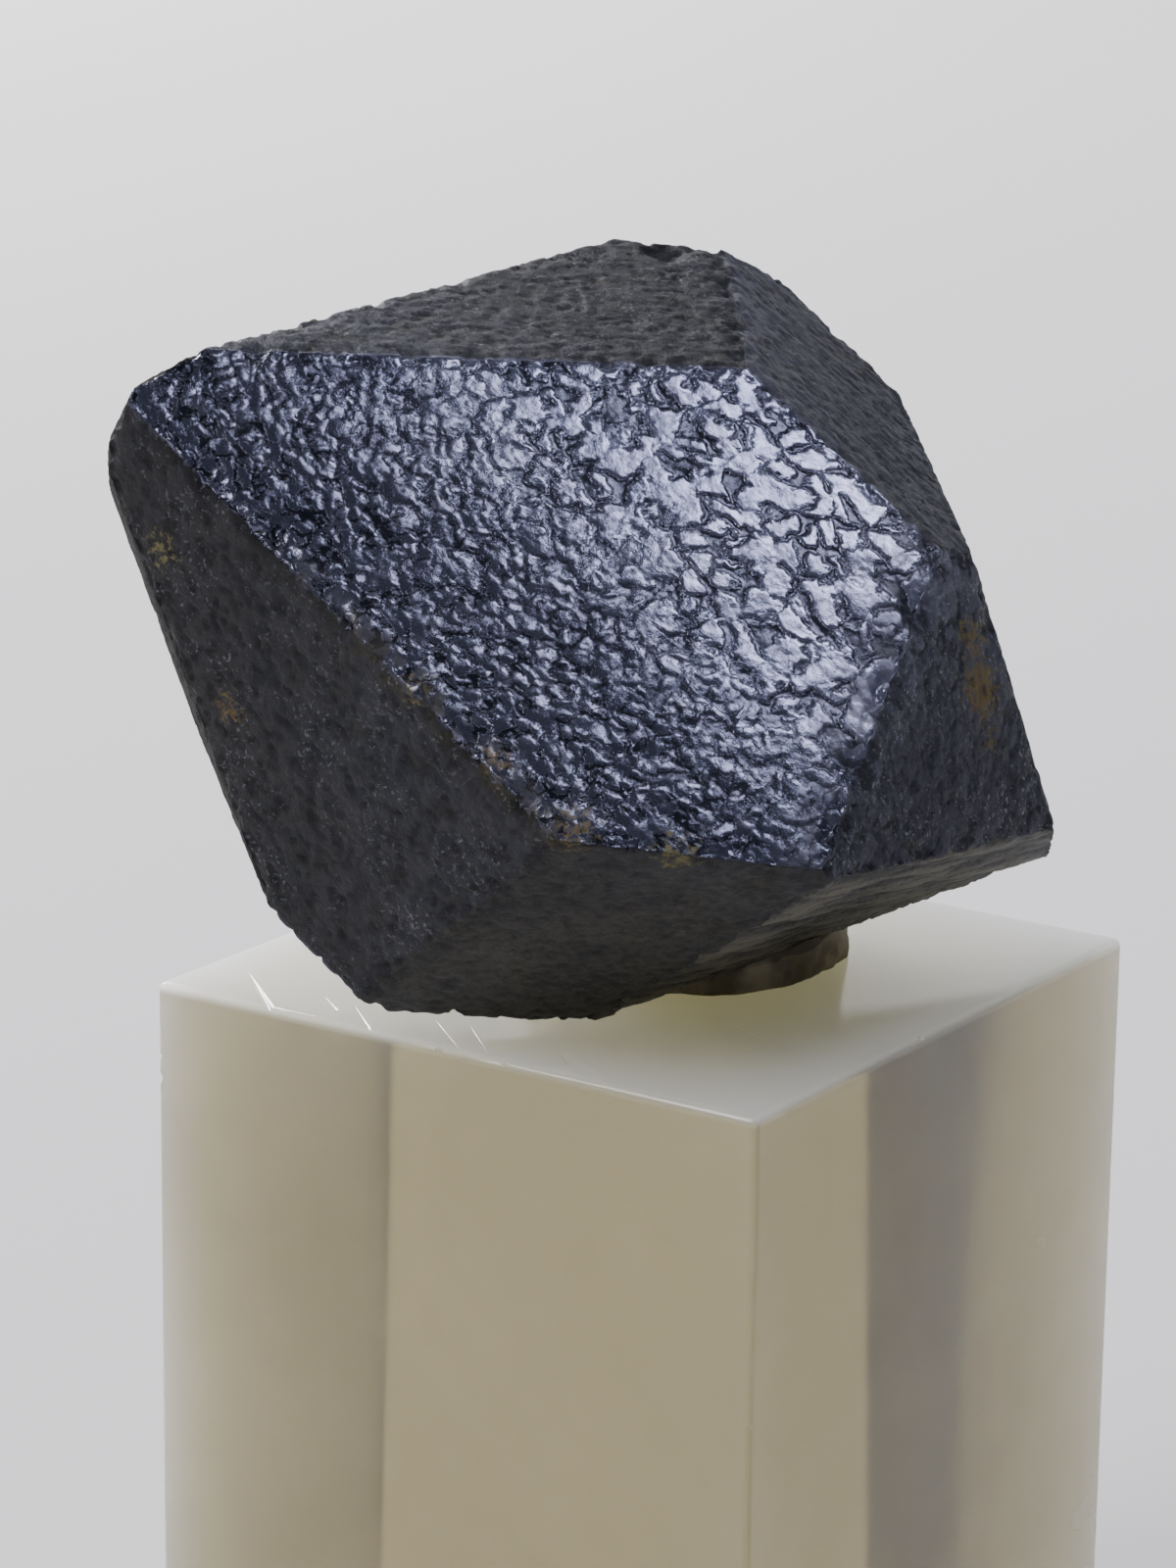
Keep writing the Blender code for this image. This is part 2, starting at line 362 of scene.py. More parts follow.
class Board:
    """One node tree, shader or geometry, that nodes are added to."""

    def __init__(self, tree):
        self.tree = tree

    def add(self, kind, settings=None, values=(), out=0):
        """Add a node, set it up, wire or fill its inputs, and return one of its outputs.

        values is a list for the first inputs in order, or a dict by input name or number.
        """
        node = self.tree.nodes.new(kind)
        for name, value in (settings or {}).items():
            setattr(node, name, value)
        pairs = values.items() if isinstance(values, dict) else enumerate(values)
        for key, value in pairs:
            socket = node.inputs[key]
            if isinstance(value, Wire):
                self.tree.links.new(value.socket, socket)
            elif value is not None:
                socket.default_value = value
        return Wire(self, node.outputs[out]) if node.outputs else node

    def vector(self, x, y, z):
        return self.add("ShaderNodeCombineXYZ", None, [x, y, z])

    def noise(self, place, size, detail=2.0, roughness=0.5, distortion=0.0, out=0):
        """Cloudy noise from 0 to 1, or three of them as out=1, whose lumps are about size wide."""
        values = {"Vector": place, "Scale": 1.0 / size, "Detail": detail, "Roughness": roughness,
                  "Distortion": distortion}
        return self.add("ShaderNodeTexNoise", None, values, out)

    def patches(self, place, name, distortion=0.0):
        """Noise that is 0 outside its patches and 1 inside them."""
        size, detail, roughness, start, full = PATCHES[name]
        return self.noise(place, size, detail, roughness, distortion).ramp(start, full)

    def length(self, vector):
        return self.add("ShaderNodeVectorMath", {"operation": "LENGTH"}, [vector], out=1)

    def mix_colour(self, share, first, second):
        """Two colours, each a wire or three numbers, mixed by a share of the second."""
        first, second = (end if isinstance(end, Wire) else (*end, 1.0) for end in (first, second))
        settings = {"data_type": "RGBA"}
        return self.add("ShaderNodeMix", settings, {0: share, 6: first, 7: second}, out=2)

    def scale(self, vector, number):
        return self.add("ShaderNodeVectorMath", {"operation": "SCALE"}, {0: vector, 3: number})

    def shift(self, vector, other):
        return self.add("ShaderNodeVectorMath", {"operation": "ADD"}, [vector, other])

    def millimetres_from(self, origin):
        """The place on the piece, in millimetres from a point of the frame."""
        place = self.add("ShaderNodeTexCoord", None, (), out="Object")
        return self.scale(self.shift(place, tuple(-origin)), 1.0 / MM)

    def away_from(self, vector, point):
        """Distance of a place from a fixed point."""
        settings = {"operation": "DISTANCE"}
        return self.add("ShaderNodeVectorMath", settings, [vector, tuple(point)], out=1)


def new_material(name, **constants):
    """A material with its Principled shader's fixed sockets set; returns it, its board and shader."""
    material = bpy.data.materials.new(name)
    material.use_nodes = True
    shader = material.node_tree.nodes["Principled BSDF"]
    for socket, value in constants.items():
        shader.inputs[socket.replace("_", " ")].default_value = value
    return material, Board(material.node_tree), shader


def plug(board, wire, socket):
    board.tree.links.new(wire.socket, socket)


def link_object(name, mesh):
    piece = bpy.data.objects.new(name, mesh)
    bpy.context.scene.collection.objects.link(piece)
    return piece


def open_tree(tree, sizes):
    """Give a geometry node tree one input for the mesh and one for each size."""
    face = tree.interface
    face.new_socket("Geometry", in_out="INPUT", socket_type="NodeSocketGeometry")
    face.new_socket("Geometry", in_out="OUTPUT", socket_type="NodeSocketGeometry")
    for name, value in sizes.items():
        face.new_socket(name, in_out="INPUT", socket_type="NodeSocketFloat").default_value = value
    board = Board(tree)
    group_in = tree.nodes.new("NodeGroupInput")
    size = {name: Wire(board, group_in.outputs[name]) for name in sizes}
    return board, Wire(board, group_in.outputs["Geometry"]), size


def close_tree(board, result, material):
    """Make the result plain, give it its material and hand it out."""
    whole = board.add("GeometryNodeRealizeInstances", None, [result])
    finished = board.add("GeometryNodeSetMaterial", None, {"Geometry": whole, "Material": material})
    group_out = board.tree.nodes.new("NodeGroupOutput")
    plug(board, finished, group_out.inputs[0])


def shape_with(piece, tree, sizes):
    """Run a geometry node tree over a piece and keep the result as its plain mesh."""
    modifier = piece.modifiers.new("shape", "NODES")
    modifier.node_group = tree
    for item in tree.interface.items_tree:
        if item.item_type == "SOCKET" and item.in_out == "INPUT" and item.name in sizes:
            modifier[item.identifier] = sizes[item.name]
    evaluated = piece.evaluated_get(bpy.context.evaluated_depsgraph_get())
    mesh = bpy.data.meshes.new_from_object(evaluated)
    piece.modifiers.remove(modifier)
    piece.data = mesh
    return piece


# Camera

def make_camera():
    """The camera, at the photographer's place and with the same view."""
    data = bpy.data.cameras.new("camera")
    data.sensor_width = LONG_SIDE_SENSOR
    data.lens = LENS
    data.clip_start, data.clip_end = CAMERA_SEES
    camera = bpy.data.objects.new("camera", data)
    bpy.context.scene.collection.objects.link(camera)
    upright = Matrix.Rotation(radians(CAMERA_AZIMUTH), 4, "Z")
    tilt = Matrix.Rotation(radians(90.0 - CAMERA_DOWN), 4, "X")
    roll = Matrix.Rotation(radians(CAMERA_ROLL), 4, "Z")
    camera.matrix_world = Matrix.Translation(CAMERA_PLACE) @ upright @ tilt @ roll
    bpy.context.scene.camera = camera


# Crystal

def cut_off(bm, point, normal):
    """Remove what lies beyond a plane and close the cut with one flat face."""
    everything = bm.verts[:] + bm.edges[:] + bm.faces[:]
    cut = bmesh.ops.bisect_plane(bm, geom=everything, plane_co=point, plane_no=normal,
                                 dist=1e-7, clear_outer=True)
    rim = [part for part in cut["geom_cut"] if isinstance(part, bmesh.types.BMEdge)]
    if rim:
        bmesh.ops.edgeloop_fill(bm, edges=rim)


def cut_polyhedron():
    """The crystal as a sharp body with one flat polygon for each of its faces."""
    bm = bmesh.new()
    bmesh.ops.create_cube(bm, size=ROUGH_STONE)
    bmesh.ops.translate(bm, verts=bm.verts[:], vec=HEART)
    for name, (azimuth, rise, reach) in FACES.items():
        cut_off(bm, HEART + NORMALS[name] * reach * MM, NORMALS[name])
    bmesh.ops.remove_doubles(bm, verts=bm.verts[:], dist=0.02 * MM)
    bmesh.ops.recalc_face_normals(bm, faces=bm.faces[:])
    bm.normal_update()
    bm.verts.index_update()
    return bm


def face_name(normal):
    """The name of the face that looks the most in one direction."""
    return max(NORMALS, key=lambda name: NORMALS[name].dot(normal))


def streak_direction(name, normal):
    """Along the edge that a face shares with its named neighbour, or level where it has none."""
    neighbour = CHARACTER.get(name, PLAIN).neighbour
    other = NORMALS[neighbour] if neighbour else Vector((0.0, 0.0, 1.0))
    return normal.cross(other).normalized()


class SkinBuilder:
    """Collects points with their attributes, and triangles between them."""

    def __init__(self):
        self.points = []
        self.values = {key: [] for key in ("gap", "along", "across", "broad", *TRAITS)}
        self.triangles = []
        self.on_edges = {}

    def add_point(self, place, gap, along, across, traits):
        self.points.append(place)
        for key, value in zip(self.values, (gap, along, across, *traits)):
            self.values[key].append(value)
        return len(self.points) - 1


def spread_over(face, builder, rng):
    """Cover one flat polygon with a close net of points that shares its neighbours' edge points."""
    name = face_name(face.normal)
    character = CHARACTER.get(name, PLAIN)
    spacing = character.spacing
    traits = (1.0 if name == "broad" else 0.0, *(getattr(character, trait) for trait in TRAITS))
    along = streak_direction(name, face.normal)
    across = face.normal.cross(along)
    middle = face.calc_center_median()

    def flat(place):
        spot = (place - middle) / MM
        return Vector((spot.dot(along), spot.dot(across)))

    corners = [loop.vert for loop in face.loops]
    sides = []
    flat_points = []
    numbers = []
    for start, end in zip(corners, corners[1:] + corners[:1]):
        length = (end.co - start.co).length / MM
        steps = max(1, ceil(length / EDGE_STEP))
        low, high = sorted((start.index, end.index))
        for step in range(steps):
            share = step / steps
            place = start.co.lerp(end.co, share)
            if step == 0:
                key = start.index
            elif start.index == low:
                key = (low, high, step)
            else:
                key = (low, high, steps - step)
            if key not in builder.on_edges:
                spot = flat(place)
                builder.on_edges[key] = builder.add_point(place, 0.0, spot.x, spot.y, traits)
            numbers.append(builder.on_edges[key])
            flat_points.append(flat(place))
        first, last = flat(start.co), flat(end.co)
        heading = (last - first).normalized()
        sides.append((first, Vector((-heading.y, heading.x))))
    rim_count = len(flat_points)
    rim = [(at, (at + 1) % rim_count) for at in range(rim_count)]

    low_x, high_x = min(p.x for p in flat_points), max(p.x for p in flat_points)
    low_y, high_y = min(p.y for p in flat_points), max(p.y for p in flat_points)
    row_height = spacing * sqrt(3.0) / 2.0
    shake = spacing * 0.2
    for row in range(int((high_y - low_y) / row_height) + 1):
        y = low_y + (row + 0.5) * row_height
        offset = spacing * (0.5 if row % 2 else 0.0)
        for column in range(int((high_x - low_x) / spacing) + 1):
            spot = Vector((low_x + offset + column * spacing + rng.uniform(-shake, shake),
                           y + rng.uniform(-shake, shake)))
            gap = min((spot - corner).dot(inward) for corner, inward in sides)
            if gap < spacing * 0.55:
                continue
            flat_points.append(spot)
            place = middle + (along * spot.x + across * spot.y) * MM
            numbers.append(builder.add_point(place, gap, spot.x, spot.y, traits))
    mesh = delaunay_2d_cdt(flat_points, rim, [], 1, 1e-6)
    found, triangles, origins = mesh[0], mesh[2], mesh[3]
    back = [numbers[origin[0]] if origin else None for origin in origins]
    for triangle in triangles:
        names = [back[at] for at in triangle]
        if None in names or len(set(names)) < 3:
            raise RuntimeError(f"the net over {name} has a stray point among {len(found)}")
        builder.triangles.append(names)


def make_crystal_skin():
    """A closed fine net over the crystal, flat so far, with what the relief needs on its points."""
    bm = cut_polyhedron()
    builder = SkinBuilder()
    rng = Random(SEED)
    for face in bm.faces:
        spread_over(face, builder, rng)
    bm.free()
    mesh = bpy.data.meshes.new("crystal_skin")
    mesh.from_pydata(builder.points, [], builder.triangles)
    for key, values in builder.values.items():
        attribute = mesh.attributes.new(key, "FLOAT", "POINT")
        attribute.data.foreach_set("value", values)
    mesh.shade_smooth()
    if len(mesh.polygons) > TRIANGLE_LIMIT:
        raise RuntimeError(f"the crystal has {len(mesh.polygons)} triangles")
    print("crystal triangles", len(mesh.polygons))
    return link_object("crystal_body", mesh)


def scales(board, spot, width, size, kind):
    """Height in millimetres of rounded plates that each lean their own way, with grooves between."""
    values = {"Vector": spot, "Scale": 1.0 / width}
    near = board.add("ShaderNodeTexVoronoi", {"feature": "F1"}, values)
    edge = board.add("ShaderNodeTexVoronoi", {"feature": "DISTANCE_TO_EDGE"}, values)
    chance = board.shift(near.other("Color"), HALF_BACK)
    offset = board.shift(spot, board.scale(near.other("Position"), -1.0))
    lean = board.add("ShaderNodeVectorMath", {"operation": "DOT_PRODUCT"}, [chance, offset], out=1)
    patchy = board.noise(spot, width * 1.3, 2.0) - 0.5
    groove = 1.0 - (edge + patchy * size["patchiness"]).ramp(0.0, GROOVE_EDGE)
    height = lean * size[kind + " lean"] - near * near * size[kind + " dome"]
    return height - groove * size[kind + " groove"], groove


def growth_plates(board, along, across, size):
    """The broad face's growth plates: height in millimetres, share of groove, share of wide plates.

    They are wide at the upper right and fine elsewhere, there drawn out round a growth centre.
    """
    left = along - GROWTH_CENTRE[0]
    down = across - GROWTH_CENTRE[1]
    coarse = (along * GROWTH_COARSE[0] + across * GROWTH_COARSE[1]).ramp(*WIDE_PLATES_BAND)
    spot = board.vector(left, down, 0.0)
    bend = board.shift(board.noise(spot, BEND_SIZE, 2.0, out=1), HALF_BACK)
    ragged = board.shift(board.noise(spot, RAGGED_SIZE, 4.0, 0.65, out=1), HALF_BACK)
    spot = board.shift(spot, board.scale(bend, size["bend"]))
    ring = board.vector(0.0, 0.0, board.length(spot) * size["ringing"])
    spot = board.shift(spot, board.scale(ragged, size["raggedness"]))
    wide, wide_groove = scales(board, spot, size["wide plates"], size, "wide")
    fine, fine_groove = scales(board, board.shift(spot, ring), size["fine plates"], size, "fine")
    fine_share = 1.0 - coarse * FINE_SHARE_LOST
    groove = (wide_groove * coarse).most(fine_groove * fine_share)
    return wide * coarse + fine * fine_share, groove, coarse


def streak_noise(board, along, across, stretch, size, detail):
    """Long narrow streaks along a face's own direction, wider where they are longer; 0 to 1."""
    width = size["streak width"] * (stretch * 0.5 + 0.5)
    place = board.vector(along / (stretch * size["streak length"]), across / width, 0.0)
    return board.noise(place, 1.0, detail, 0.65, distortion=0.3)


def growth_tree(material):
    """Geometry nodes that raise plates, streaks and pits on the flat faces and wear the edges."""
    tree = bpy.data.node_groups.new("crystal_growth", "GeometryNodeTree")
    board, source, size = open_tree(tree, RELIEF)

    def stored(name):
        return board.add("GeometryNodeInputNamedAttribute", {"data_type": "FLOAT"}, {"Name": name})

    gap, along, across, broad = stored("gap"), stored("along"), stored("across"), stored("broad")
    stretch, hills, streaks, pits = stored("stretch"), stored("hills"), stored("streaks"), stored("pits")
    position = board.add("GeometryNodeInputPosition")
    place = board.scale(board.shift(position, tuple(-HEART)), 1.0 / MM)
    inside = gap.ramp(0.0, 0.25)

    plates = growth_plates(board, along, across, size)[0]
    swell = (board.noise(place, 7.0, 1.0) - 0.5) * size["swell"]
    rim = (1.0 - gap / size["pillow reach"]).most(0.0)
    pillow = (1.0 - rim * rim) * size["pillow"] * broad

    streak = streak_noise(board, along, across, stretch, size, 3.0)
    streak_height = (streak.ramp(*STREAK_BAND) - STREAKS_SUNK) * size["streak relief"]
    pit_height = -board.patches(place, "pits", PIT_TWIST) * size["pit depth"]
    grain = (board.noise(place, 0.38, 2.0, 0.6) - 0.5) * size["grain"] * (1.0 - broad)

    near_edge = 1.0 - (gap / size["edge band"]).ramp(0.0, 1.0)
    far_edge = 1.0 - (gap / size["chip band"]).ramp(0.0, 1.0)
    chips = board.patches(place, "large chips") + board.patches(place, "small chips") * 0.25
    wear = near_edge * near_edge * size["edge wear"] + far_edge * chips * size["chip depth"]

    rough = streak_height * streaks + pit_height * pits
    height = (plates + swell) * hills + rough + grain
    height = height * inside + pillow - wear
    jagged = board.patches(place, "jagged dents") * 0.9 + 0.55
    for spot, radius, deep in DENTS.values():
        height = height - board.away_from(place, spot).ramp(radius, 0.0) * jagged * deep
    normal = board.add("GeometryNodeInputNormal")
    moved = board.add("GeometryNodeSetPosition", None,
                      {"Geometry": source, "Offset": board.scale(normal, height * MM)})
    kept = board.add("GeometryNodeStoreNamedAttribute", {"data_type": "FLOAT", "domain": "POINT"},
                     {"Geometry": moved, "Name": "rough", "Value": rough})
    close_tree(board, kept, material)
    return tree


def from_line(board, place, ends):
    """Distance of a place from the line through two points."""
    start, end = (Vector(spot) for spot in ends)
    way = tuple((end - start).normalized())
    values = [board.shift(place, tuple(-start)), way]
    return board.length(board.add("ShaderNodeVectorMath", {"operation": "CROSS_PRODUCT"}, values))


def crystal_finish():
    """Bluish submetallic faces, duller black ones, worn and dusty edges and a few rusty stains, with
    painted shade in grooves and hollows and painted highlights among the wide plates and on the ribs.
    """
    material, board, shader = new_material("crystal_metal", IOR=1.35)
    place = board.millimetres_from(HEART)

    def stored(name):
        return board.add("ShaderNodeAttribute", {"attribute_name": name}, (), out=2)

    sheen, pale, rough, streaks = stored("sheen"), stored("pale"), stored("rough"), stored("streaks")
    along, across, broad, stretch = stored("along"), stored("across"), stored("broad"), stored("stretch")
    flecks, hills = stored("flecks"), stored("hills")
    cloud = board.noise(place, 6.0, 3.0)
    speck = board.noise(place, 0.22, 2.0, 0.6)
    streak = streak_noise(board, along, across, stretch, RELIEF, 6.0)
    crumbly = board.noise(place, 0.40, 5.0, 0.75)
    plates, groove, coarse = growth_plates(board, along, across, RELIEF)
    worn = from_line(board, place, WORN_EDGE).ramp(WORN_REACH, 0.0)
    worn = worn * board.patches(place, "worn edge")
    sheen = sheen + worn * (WORN_GAIN - broad * WORN_LOSS) * hills

    dull = board.mix_colour(cloud.ramp(0.35, 0.65), *METAL["dull"])
    # Painted shade: the dull colour is darkened where the relief sinks into pits and streak hollows, and in
    # the hollows of the crumbly bump.
    painted_hollow_shade = rough.ramp(-0.12, 0.03) + 0.25
    crumbs = crumbly.ramp(0.38, 0.62) * 0.9 + 0.55
    # pale is partly painted light, set per face to make up for how brightly each face is lit.
    dull = board.scale(dull, pale * painted_hollow_shade * crumbs)
    bright = board.mix_colour(cloud.ramp(0.3, 0.7), *METAL["bright"])
    # Painted shade and highlight: the metal is darkened in the grooves between plates, and made paler where
    # the wide plates are, which brightens the highlight that falls there.
    bright = board.scale(bright, (1.0 - groove * 0.7) * (0.70 + coarse * coarse * 0.62))
    colour = board.mix_colour(sheen, dull, bright)
    # Dust on the streaks' ridges. On the ribbed face, the paler colour also paints the ribs' highlights.
    dusty = streak.ramp(*STREAK_DUST_AND_HIGHLIGHT_BAND) * (streaks * 0.3).least(1.0)
    dust_and_rib_highlight = board.mix_colour(streaks.ramp(1.5, 2.5), *METAL["dust_and_rib_highlight"])
    colour = board.mix_colour(dusty, colour, dust_and_rib_highlight)
    dust = from_line(board, place, DUSTY_EDGE).ramp(1.4, 0.2)
    dust = dust * board.patches(place, "edge dust")
    dust = dust * board.away_from(place, DUSTY_EDGE[0]).ramp(*DUST_FADE)
    colour = board.mix_colour(dust * 0.9, colour, METAL["dust"])
    flecks = flecks * board.patches(place, "fleck clusters") + worn * hills * (1.0 - broad)
    sparkle = board.patches(place, "flecks") * flecks
    colour = board.mix_colour(sparkle, colour, METAL["fleck"])
    rust_noise = board.noise(place, 0.33, 4.0, 0.7)
    rust = None
    for spot, radius, strength in STAINS.values():
        patch = board.away_from(place, spot).ramp(radius, 0.0) * strength
        rust = patch if rust is None else rust.most(patch)
    rust = (rust + rust_noise - 0.75).ramp(0.0, 0.2)
    ochre = board.mix_colour(cloud.ramp(0.4, 0.6), *METAL["rust"])
    colour = board.mix_colour(rust * 0.8, colour, ochre)
    plug(board, colour, shader.inputs["Base Color"])
    clean = 1.0 - rust.most(dust)
    plug(board, (sheen * 0.88).most(sparkle * 0.9) * clean, shader.inputs["Metallic"])
    dusty_spots = board.patches(place, "dusty spots")
    matt = sheen.ramp(0.03, 0.0)
    roughness = 0.60 - sheen * 0.46 + speck * 0.08 + dusty_spots * 0.10 + (1.0 - clean) * 0.3
    roughness = roughness - sparkle * 0.3 + matt * 0.5
    plug(board, roughness, shader.inputs["Roughness"])
    fine = crumbly * (0.16 - broad * 0.14) + streak * streaks * 0.05
    height = (fine + plates * hills * 0.4) * MM
    bump = board.add("ShaderNodeBump", None, {"Strength": 1.0, "Distance": 1.0, "Height": height})
    plug(board, bump, shader.inputs["Normal"])
    return material


def make_crystal():
    piece = make_crystal_skin()
    material = crystal_finish()
    shape_with(piece, growth_tree(material), RELIEF)
    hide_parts("crystal")
    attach(piece, "root")
    return piece


# Display block

def block_finish():
    """Clear yellowed resin with a milky haze in which light spreads; on the top the milk is thicker and
    painted paler, lifting the shade there.
    """
    material, board, shader = new_material(
        "clear_resin", Base_Color=(1.0, 1.0, 1.0, 1.0), IOR=RESIN["ior"], Transmission_Weight=1.0)
    place = board.millimetres_from(BLOCK_TOP)
    height = board.add("ShaderNodeSeparateXYZ", None, [place], out=2)
    top = height.ramp(*RESIN["top band"])
    cloud = board.noise(place, 9.0, 3.0)
    plug(board, cloud * RESIN["rough clouds"] + RESIN["roughness"], shader.inputs["Roughness"])
    # Painted light: the milk is paler on the top than on the sides.
    milky = board.mix_colour(top, RESIN["milk on the sides"], RESIN["top milk painted paler"])
    milk = {"Base Color": milky, "Roughness": 0.15, "IOR": RESIN["ior"], "Subsurface Weight": 1.0,
            "Subsurface Radius": (1.0, 1.0, 0.9), "Subsurface Scale": RESIN["milk reach"]}
    haze = board.add("ShaderNodeBsdfPrincipled", None, milk)
    share = top * RESIN["more on the top"] + RESIN["milkiness"] + (cloud - 0.5) * RESIN["cloudiness"]
    mixed = board.add("ShaderNodeMixShader", None, {0: share, 1: Wire(board, shader.outputs[0]), 2: haze})
    finish = board.tree.nodes["Material Output"]
    plug(board, mixed, finish.inputs["Surface"])
    tint = {"Color": RESIN["tint"], "Density": RESIN["tint density"]}
    volume = board.add("ShaderNodeVolumeAbsorption", None, tint)
    plug(board, volume, finish.inputs["Volume"])
    return material


def gouge_cutter(start, end, width):
    """A bar with a sharp lower edge, laid along a line on the block's top."""
    start = BLOCK_TOP + Vector((*start, 0.0)) * MM
    end = BLOCK_TOP + Vector((*end, 0.0)) * MM
    side = (end - start).cross(Vector((0.0, 0.0, 1.0))).normalized() * width * MM
    up = Vector((0.0, 0.0, width * MM))
    bm = bmesh.new()
    tip = bm.verts.new(start + up * 0.02)
    above = end + up * 0.4
    ring = [bm.verts.new(end - up * 0.35), bm.verts.new(above + side), bm.verts.new(above - side)]
    bm.faces.new(ring)
    for one, other in ((0, 1), (1, 2), (2, 0)):
        bm.faces.new((ring[one], ring[other], tip))
    bmesh.ops.recalc_face_normals(bm, faces=bm.faces[:])
    return bm


def nick_cutter(place, radius, rng):
    """A small uneven ball that takes a chip out of an edge."""
    bm = bmesh.new()
    bmesh.ops.create_icosphere(bm, subdivisions=2, radius=radius * MM)
    for vert in bm.verts:
        vert.co = vert.co * rng.uniform(0.75, 1.25) + Vector(place) * MM
    return bm


def carve(piece, cutter):
    """Take the cutter's shape out of a piece."""
    mesh = bpy.data.meshes.new("cutter")
    cutter.to_mesh(mesh)
    cutter.free()
    tool = link_object("cutter", mesh)
    modifier = piece.modifiers.new("carve", "BOOLEAN")
    modifier.operation = "DIFFERENCE"
    modifier.solver = "EXACT"
    modifier.object = tool
    evaluated = piece.evaluated_get(bpy.context.evaluated_depsgraph_get())
    carved = bpy.data.meshes.new_from_object(evaluated)
    piece.modifiers.remove(modifier)
    piece.data = carved
    bpy.data.objects.remove(tool, do_unlink=True)


def make_block():
    bm = bmesh.new()
    bmesh.ops.create_cube(bm, size=1.0)
    size = BLOCK_HIGH - BLOCK_LOW
    middle = (BLOCK_HIGH + BLOCK_LOW) / 2
    for vert in bm.verts:
        vert.co = Vector((vert.co.x * size.x, vert.co.y * size.y, vert.co.z * size.z)) + middle
    bmesh.ops.bevel(bm, geom=bm.edges[:], offset=BLOCK_EDGE, segments=4, profile=0.5, affect="EDGES")
    mesh = bpy.data.meshes.new("display_block_resin")
    bm.to_mesh(mesh)
    bm.free()
    piece = link_object("block_resin", mesh)
    rng = Random(SEED)
    cutters = [gouge_cutter(*line) for line in GOUGES.values()]
    cutters += [nick_cutter(*nick, rng) for nick in NICKS.values()]
    for cutter in cutters:
        carve(piece, cutter)
    mesh = piece.data
    mesh.shade_smooth()
    mesh.set_sharp_from_angle(angle=radians(SHARP_ANGLE))
    mesh.materials.clear()
    mesh.materials.append(block_finish())
    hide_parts("display_block")
    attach(piece, "root")
    return piece


# Putty

def putty_finish():
    """Brown putty, paler in patches."""
    material, board, shader = new_material("putty", Metallic=0.0)
    place = board.scale(board.add("ShaderNodeTexCoord", None, (), out="Object"), 1.0 / MM)
    cloud = board.noise(place, 2.0, 3.0)
    colour = board.mix_colour(cloud.ramp(0.35, 0.7), *PUTTY_COLOURS)
    plug(board, colour, shader.inputs["Base Color"])
    plug(board, cloud * 0.2 + 0.55, shader.inputs["Roughness"])
    fine = board.noise(place, 0.3, 3.0, 0.6)
    bump = board.add("ShaderNodeBump", None, {"Strength": 0.6, "Distance": 0.1 * MM, "Height": fine})
    plug(board, bump, shader.inputs["Normal"])
    return material


def lump_tree(material):
    """Geometry nodes that press lumps and crumbs into a smooth ball of putty."""
    tree = bpy.data.node_groups.new("putty_lumps", "GeometryNodeTree")
    board, source, size = open_tree(tree, PUTTY_LUMPS)
    place = board.scale(board.add("GeometryNodeInputPosition"), 1.0 / MM)
    lumps = board.noise(board.scale(place, 1.0 / size["lump size"]), 1.0, 2.0) - 0.5
    crumbs = board.noise(board.scale(place, 1.0 / size["crumb size"]), 1.0, 2.0) - 0.5
    height = lumps * size["lump depth"] + crumbs * size["crumb depth"]
    normal = board.add("GeometryNodeInputNormal")
    moved = board.add("GeometryNodeSetPosition", None,
                      {"Geometry": source, "Offset": board.scale(normal, height * MM)})
    close_tree(board, moved, material)
    return tree


def make_putty():
    bm = bmesh.new()
    bmesh.ops.create_uvsphere(bm, u_segments=220, v_segments=110, radius=1.0)
    for vert in bm.verts:
        around = Vector((vert.co.x * PUTTY_RADIUS, vert.co.y * PUTTY_RADIUS, vert.co.z * PUTTY_HALF_HEIGHT))
        vert.co = PUTTY_CENTRE + around
    mesh = bpy.data.meshes.new("putty_lump")
    bm.to_mesh(mesh)
    bm.free()
    piece = link_object("putty_lump", mesh)
    shape_with(piece, lump_tree(putty_finish()), PUTTY_LUMPS)
    bm = bmesh.new()
    bm.from_mesh(piece.data)
    cut_off(bm, BLOCK_TOP, Vector((0.0, 0.0, -1.0)))
    outward = NORMALS["underside"]
    cut_off(bm, HEART + outward * (FACES["underside"][2] * MM - PUTTY_BITE), -outward)
    bmesh.ops.triangulate(bm, faces=bm.faces[:])
    bm.to_mesh(piece.data)
    bm.free()
    piece.data.shade_smooth()
    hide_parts("mounting_putty")
    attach(piece, "root")
    return piece


# Stage and lights

def make_stage():
    bm = bmesh.new()
    bmesh.ops.create_circle(bm, cap_ends=True, segments=96, radius=FLOOR_RADIUS)
    for vert in bm.verts:
        vert.co.z = BLOCK_LOW.z - FLOOR_GAP
    mesh = bpy.data.meshes.new("floor")
    bm.to_mesh(mesh)
    bm.free()
    pale = {"Base_Color": (0.80, 0.80, 0.83, 1.0), "Roughness": 0.85, "Specular_IOR_Level": 0.2}
    mesh.materials.append(new_material("pale_floor", **pale)[0])
    link_object("floor", mesh)


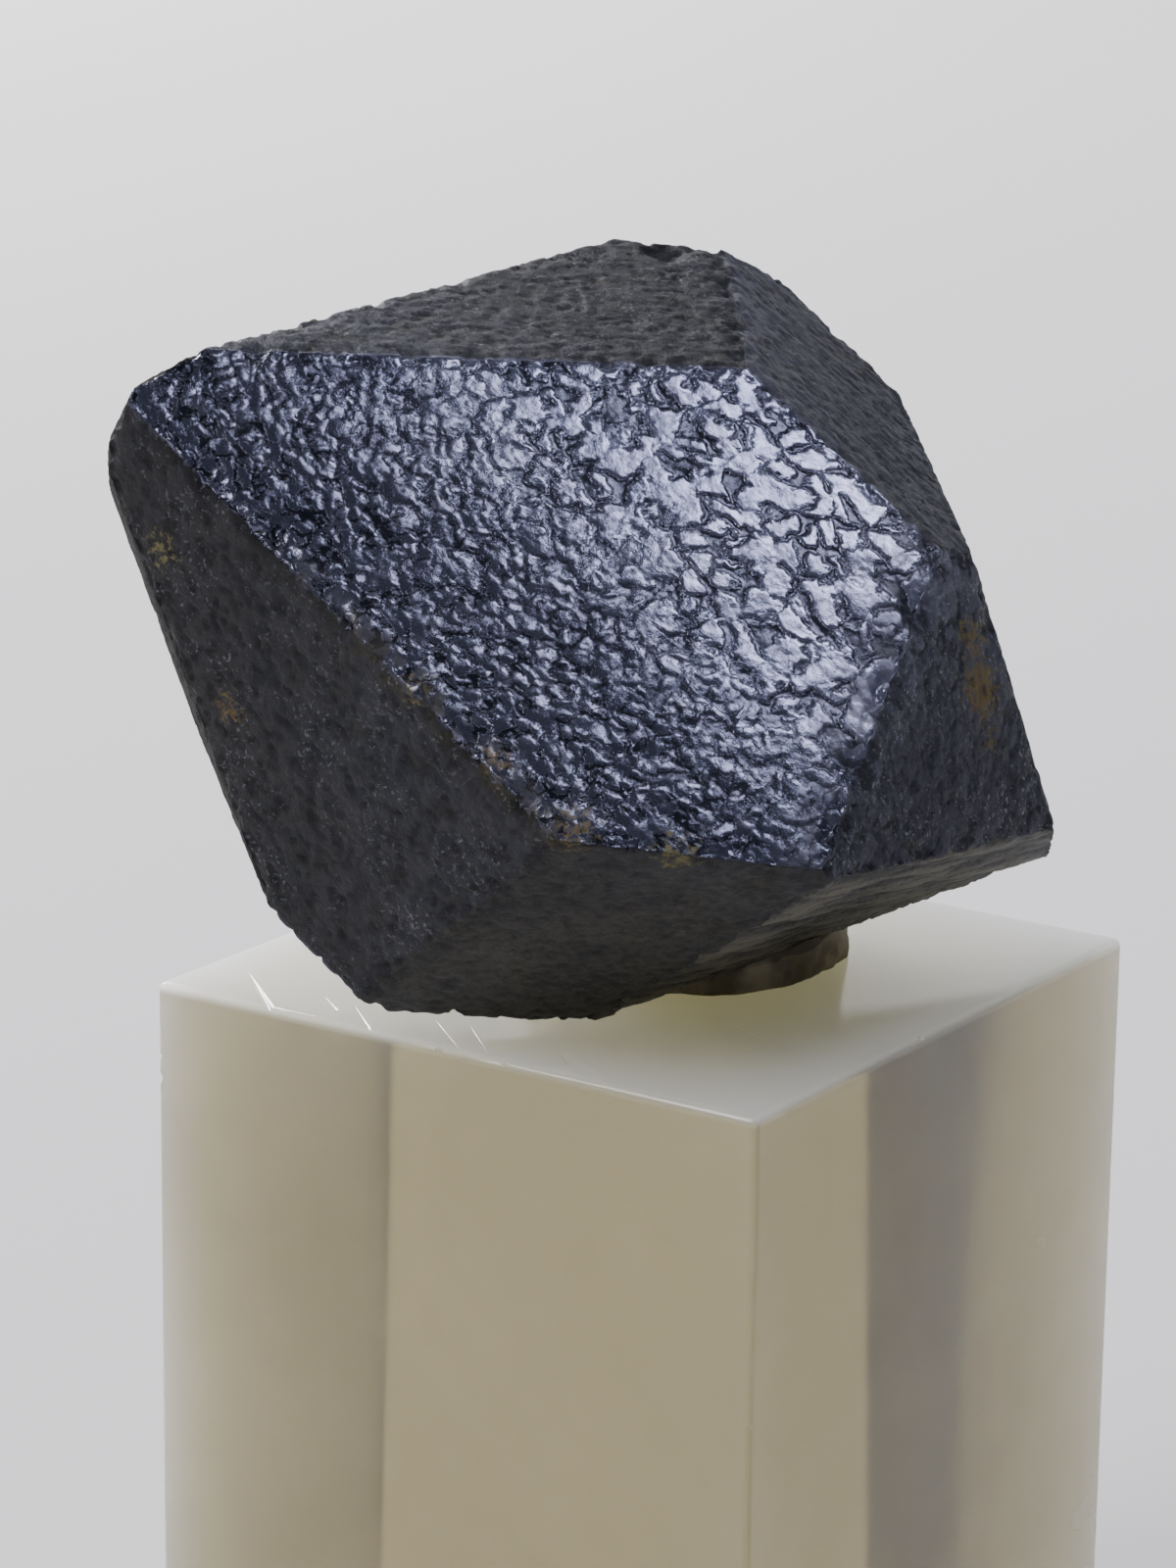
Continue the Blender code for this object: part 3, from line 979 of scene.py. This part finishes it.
def add_light(name, place, target, side, size, brightness, colour):
    """A square soft box turned towards the target, with one of its edges along side.

    brightness is what a mirror would show of it, with 1 as plain white.
    """
    data = bpy.data.lights.new(name, "AREA")
    data.size = size
    data.energy = brightness * pi * size * size
    data.color = colour
    light = bpy.data.objects.new(name, data)
    bpy.context.scene.collection.objects.link(light)
    facing = (place - target).normalized()
    upward = facing.cross(side).normalized()
    turn = Matrix((upward.cross(facing), upward, facing)).transposed()
    light.matrix_world = Matrix.Translation(place) @ turn.to_4x4()


def make_world():
    """A dark room with one pale wall behind the piece."""
    world = bpy.data.worlds.new("room")
    world.use_nodes = True
    board = Board(world.node_tree)
    heading = board.add("ShaderNodeTexCoord", None, (), out="Generated")
    height = board.add("ShaderNodeSeparateXYZ", None, [heading], out=2)
    facing = board.add("ShaderNodeVectorMath", {"operation": "DOT_PRODUCT"},
                       [heading, tuple(direction(WALL_AZIMUTH, 0.0))], out=1)
    wall = facing.ramp(*WALL_SIDES) * height.ramp(*WALL_TOP)
    plug(board, board.mix_colour(wall, ROOM, WALL), world.node_tree.nodes["Background"].inputs["Color"])
    bpy.context.scene.world = world


def make_lights():
    """Soft boxes fill the upper right of the broad face's mirror image; two more light the floor."""
    make_world()
    normal = NORMALS["broad"]
    to_camera = (CAMERA_PLACE - HEART).normalized()

    def mirrored(way):
        return 2.0 * normal.dot(way) * normal - way

    right = Vector((cos(radians(CAMERA_AZIMUTH)), sin(radians(CAMERA_AZIMUTH)), 0.0))
    beyond = Vector((-right.y, right.x, 0.0))
    up = Vector((0.0, 0.0, 1.0))
    beside, above = -mirrored(right), -mirrored(up)
    for name, box in MIRROR_LIGHTS.items():
        place = HEART + mirrored(to_camera) * box["distance"]
        place += beside * (box["size"] / 2 + box["left_edge"]) + above * (box["size"] / 2 + box["low_edge"])
        add_light(name, place, HEART, beside, box["size"], box["brightness"], COOL)
    for name, box in FLOOR_LIGHTS.items():
        place = HEART + right * box["right"] + beyond * box["beyond"] + up * box["above"]
        target = HEART + beyond * FLOOR_TARGET
        side = (target - place).cross(up).normalized()
        add_light(name, place, target, side, box["size"], box["brightness"], WARM)


make_camera()
make_stage()
make_lights()
make_block()
make_putty()
make_crystal()
